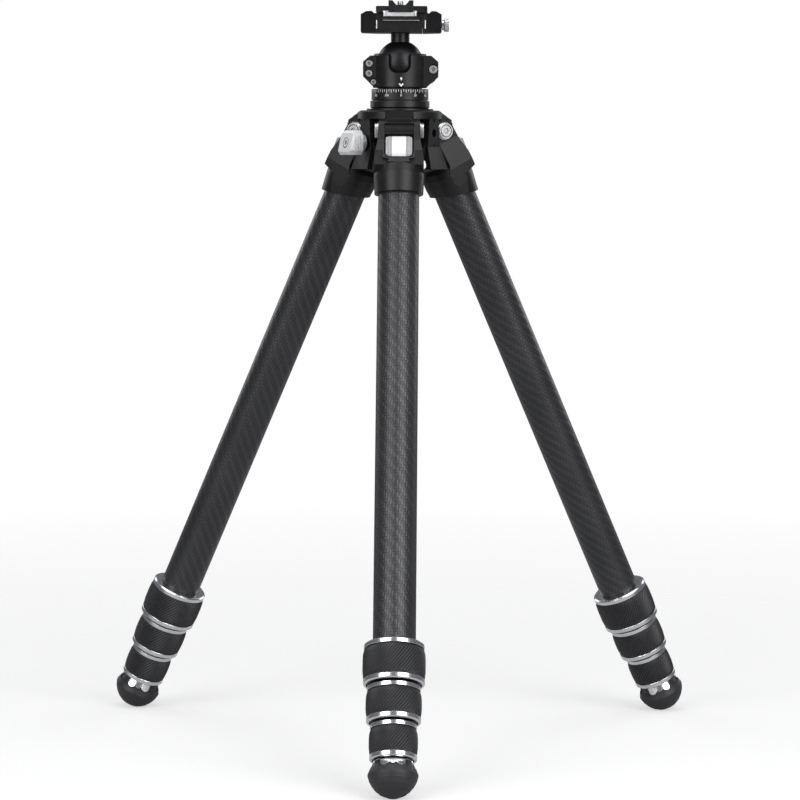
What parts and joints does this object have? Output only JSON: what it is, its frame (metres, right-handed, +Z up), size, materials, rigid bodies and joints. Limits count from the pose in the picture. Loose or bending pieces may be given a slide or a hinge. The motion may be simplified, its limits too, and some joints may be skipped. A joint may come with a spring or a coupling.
{
  "type": "camera tripod",
  "caption": "Camera tripod with sectioned carbon-fibre legs, twist locks and rubber feet, carrying a ball head with a quick-release clamp and an empty camera plate.",
  "frame": {"origin": "on the floor, midway between the three feet, under the centre of the camera screw", "axes": "+Z up the centre line, the front leg points along -Y, the other two legs at 30 and 150 degrees from +X"},
  "size_m": [0.5974, 0.5236, 0.7354],
  "materials": {
    "black_anodised": "satin black anodised",
    "silver_anodised": "bright turned and anodised",
    "steel_screws": "polished stainless steel",
    "carbon_fibre": "clear-coated carbon twill",
    "rubber": "matte moulded rubber",
    "ball_coating": "hard black coating, semi-gloss",
    "ball_liner": "matte"
  },
  "bodies": {
    "apex": {"apex": "black_anodised", "apex_fasteners": "steel_screws"},
    "platform_lever": {"platform_lever": "silver_anodised"},
    "platform": {"platform": "black_anodised", "head_base": "black_anodised", "pan_scale": "black_anodised"},
    "housing": {"head_housing": "black_anodised", "housing_screws": "steel_screws"},
    "ball_cup": {"ball_cup": "ball_liner"},
    "ball": {"ball": "ball_coating"},
    "ball_knob": {"ball_knob": "black_anodised"},
    "pan_knob": {"pan_knob": "black_anodised"},
    "clamp": {"clamp_body": "black_anodised"},
    "clamp_jaw": {"clamp_jaw": "black_anodised"},
    "clamp_knob": {"clamp_knob": "silver_anodised"},
    "plate": {"camera_plate": "black_anodised", "plate_stop": "black_anodised"},
    "camera_screw": {"camera_screw": "steel_screws"},
    "front_leg": {"front_shoulder": "black_anodised", "front_tube_1": "carbon_fibre"},
    "front_latch": {"front_latch": "silver_anodised"},
    "front_lock_1": {"front_nut_1": "silver_anodised", "front_grip_1": "rubber"},
    "front_section_2": {"front_tube_2": "carbon_fibre"},
    "front_lock_2": {"front_nut_2": "silver_anodised", "front_grip_2": "rubber"},
    "front_section_3": {"front_tube_3": "carbon_fibre"},
    "front_lock_3": {"front_nut_3": "silver_anodised", "front_grip_3": "rubber"},
    "front_section_4": {"front_tube_4": "carbon_fibre", "front_foot_ring": "silver_anodised", "front_foot": "rubber"},
    "right_leg": {"right_shoulder": "black_anodised", "right_tube_1": "carbon_fibre"},
    "right_latch": {"right_latch": "silver_anodised"},
    "right_lock_1": {"right_nut_1": "silver_anodised", "right_grip_1": "rubber"},
    "right_section_2": {"right_tube_2": "carbon_fibre"},
    "right_lock_2": {"right_nut_2": "silver_anodised", "right_grip_2": "rubber"},
    "right_section_3": {"right_tube_3": "carbon_fibre"},
    "right_lock_3": {"right_nut_3": "silver_anodised", "right_grip_3": "rubber"},
    "right_section_4": {"right_tube_4": "carbon_fibre", "right_foot_ring": "silver_anodised", "right_foot": "rubber"},
    "left_leg": {"left_shoulder": "black_anodised", "left_tube_1": "carbon_fibre"},
    "left_latch": {"left_latch": "silver_anodised"},
    "left_lock_1": {"left_nut_1": "silver_anodised", "left_grip_1": "rubber"},
    "left_section_2": {"left_tube_2": "carbon_fibre"},
    "left_lock_2": {"left_nut_2": "silver_anodised", "left_grip_2": "rubber"},
    "left_section_3": {"left_tube_3": "carbon_fibre"},
    "left_lock_3": {"left_nut_3": "silver_anodised", "left_grip_3": "rubber"},
    "left_section_4": {"left_tube_4": "carbon_fibre", "left_foot_ring": "silver_anodised", "left_foot": "rubber"}
  },
  "joints": [
    {"name": "platform_lift", "type": "slide", "parent": "apex", "child": "platform", "axis": [0, 0, 1], "range_m": [0, 0.025]},
    {"name": "platform_lever_turn", "type": "hinge", "parent": "apex", "child": "platform_lever", "pos_m": [-0.03897, -0.0225, 0.5949], "axis": [-0.866, -0.5, 0], "range_deg": [0, 90]},
    {"name": "head_pan", "type": "hinge", "parent": "platform", "child": "housing", "pos_m": [0, 0, 0.6429], "axis": [0, 0, 1], "continuous": true},
    {"name": "ball_knob_turn", "type": "hinge", "parent": "housing", "child": "ball_knob", "pos_m": [0.02, 0.03464, 0.6672], "axis": [0.5, 0.866, 0], "range_deg": [-90, 180]},
    {"name": "pan_knob_turn", "type": "hinge", "parent": "housing", "child": "pan_knob", "pos_m": [-0.018, 0.03118, 0.6553], "axis": [-0.5, 0.866, 0], "range_deg": [-90, 180]},
    {"name": "ball_side_tilt", "type": "hinge", "parent": "housing", "child": "ball_cup", "pos_m": [0, 0, 0.6732], "axis": [0, 1, 0], "range_deg": [-25, 25]},
    {"name": "ball_tilt", "type": "hinge", "parent": "ball_cup", "child": "ball", "pos_m": [0, 0, 0.6732], "axis": [1, 0, 0], "range_deg": [-25, 90]},
    {"name": "clamp_spin", "type": "hinge", "parent": "ball", "child": "clamp", "pos_m": [0, 0, 0.7034], "axis": [0, 0, 1], "continuous": true},
    {"name": "jaw_open", "type": "slide", "parent": "clamp", "child": "clamp_jaw", "axis": [1, 0, 0], "range_m": [0, 0.005]},
    {"name": "clamp_knob_turn", "type": "hinge", "parent": "clamp_jaw", "child": "clamp_knob", "pos_m": [0.044, 0, 0.7112], "axis": [1, 0, 0], "range_deg": [0, 900]},
    {"name": "plate_slide", "type": "slide", "parent": "clamp", "child": "plate", "axis": [0, -1, 0], "range_m": [0, 0.06]},
    {"name": "camera_screw_turn", "type": "hinge", "parent": "plate", "child": "camera_screw", "pos_m": [0, 0, 0.7289], "axis": [0, 0, 1], "continuous": true},
    {"name": "front_leg_pivot", "type": "hinge", "parent": "apex", "child": "front_leg", "pos_m": [0, -0.0396, 0.6069], "axis": [-1, 0, 0], "range_deg": [-25, 54]},
    {"name": "front_latch_pull", "type": "slide", "parent": "front_leg", "child": "front_latch", "axis": [0, -0.8988, 0.4384], "range_m": [0, 0.005], "stiffness_N_per_m": 400, "springref_m": -0.002},
    {"name": "front_lock_1_turn", "type": "hinge", "parent": "front_leg", "child": "front_lock_1", "pos_m": [0, -0.27115, 0.11903], "axis": [0, -0.4384, -0.8988], "range_deg": [0, 120]},
    {"name": "front_section_2_slide", "type": "slide", "parent": "front_leg", "child": "front_section_2", "axis": [0, -0.4384, -0.8988], "range_m": [0, 0.4]},
    {"name": "front_lock_2_turn", "type": "hinge", "parent": "front_section_2", "child": "front_lock_2", "pos_m": [0, -0.28869, 0.08308], "axis": [0, -0.4384, -0.8988], "range_deg": [0, 120]},
    {"name": "front_section_3_slide", "type": "slide", "parent": "front_section_2", "child": "front_section_3", "axis": [0, -0.4384, -0.8988], "range_m": [0, 0.4]},
    {"name": "front_lock_3_turn", "type": "hinge", "parent": "front_section_3", "child": "front_lock_3", "pos_m": [0, -0.30403, 0.05162], "axis": [0, -0.4384, -0.8988], "range_deg": [0, 120]},
    {"name": "front_section_4_slide", "type": "slide", "parent": "front_section_3", "child": "front_section_4", "axis": [0, -0.4384, -0.8988], "range_m": [0, 0.4]},
    {"name": "right_leg_pivot", "type": "hinge", "parent": "apex", "child": "right_leg", "pos_m": [0.03429, 0.0198, 0.6069], "axis": [0.5, -0.866, 0], "range_deg": [-25, 54]},
    {"name": "right_latch_pull", "type": "slide", "parent": "right_leg", "child": "right_latch", "axis": [0.7784, 0.4494, 0.4384], "range_m": [0, 0.005], "stiffness_N_per_m": 400, "springref_m": -0.002},
    {"name": "right_lock_1_turn", "type": "hinge", "parent": "right_leg", "child": "right_lock_1", "pos_m": [0.23483, 0.13558, 0.11903], "axis": [0.3796, 0.2192, -0.8988], "range_deg": [0, 120]},
    {"name": "right_section_2_slide", "type": "slide", "parent": "right_leg", "child": "right_section_2", "axis": [0.3796, 0.2192, -0.8988], "range_m": [0, 0.4]},
    {"name": "right_lock_2_turn", "type": "hinge", "parent": "right_section_2", "child": "right_lock_2", "pos_m": [0.25001, 0.14434, 0.08308], "axis": [0.3796, 0.2192, -0.8988], "range_deg": [0, 120]},
    {"name": "right_section_3_slide", "type": "slide", "parent": "right_section_2", "child": "right_section_3", "axis": [0.3796, 0.2192, -0.8988], "range_m": [0, 0.4]},
    {"name": "right_lock_3_turn", "type": "hinge", "parent": "right_section_3", "child": "right_lock_3", "pos_m": [0.2633, 0.15202, 0.05162], "axis": [0.3796, 0.2192, -0.8988], "range_deg": [0, 120]},
    {"name": "right_section_4_slide", "type": "slide", "parent": "right_section_3", "child": "right_section_4", "axis": [0.3796, 0.2192, -0.8988], "range_m": [0, 0.4]},
    {"name": "left_leg_pivot", "type": "hinge", "parent": "apex", "child": "left_leg", "pos_m": [-0.03429, 0.0198, 0.6069], "axis": [0.5, 0.866, 0], "range_deg": [-25, 54]},
    {"name": "left_latch_pull", "type": "slide", "parent": "left_leg", "child": "left_latch", "axis": [-0.7784, 0.4494, 0.4384], "range_m": [0, 0.005], "stiffness_N_per_m": 400, "springref_m": -0.002},
    {"name": "left_lock_1_turn", "type": "hinge", "parent": "left_leg", "child": "left_lock_1", "pos_m": [-0.23483, 0.13558, 0.11903], "axis": [-0.3796, 0.2192, -0.8988], "range_deg": [0, 120]},
    {"name": "left_section_2_slide", "type": "slide", "parent": "left_leg", "child": "left_section_2", "axis": [-0.3796, 0.2192, -0.8988], "range_m": [0, 0.4]},
    {"name": "left_lock_2_turn", "type": "hinge", "parent": "left_section_2", "child": "left_lock_2", "pos_m": [-0.25001, 0.14434, 0.08308], "axis": [-0.3796, 0.2192, -0.8988], "range_deg": [0, 120]},
    {"name": "left_section_3_slide", "type": "slide", "parent": "left_section_2", "child": "left_section_3", "axis": [-0.3796, 0.2192, -0.8988], "range_m": [0, 0.4]},
    {"name": "left_lock_3_turn", "type": "hinge", "parent": "left_section_3", "child": "left_lock_3", "pos_m": [-0.2633, 0.15202, 0.05162], "axis": [-0.3796, 0.2192, -0.8988], "range_deg": [0, 120]},
    {"name": "left_section_4_slide", "type": "slide", "parent": "left_section_3", "child": "left_section_4", "axis": [-0.3796, 0.2192, -0.8988], "range_m": [0, 0.4]}
  ],
  "couplings": [
    {"joint": "clamp_knob_turn", "follows": "jaw_open", "rad_per_m": 3141.6}
  ]
}
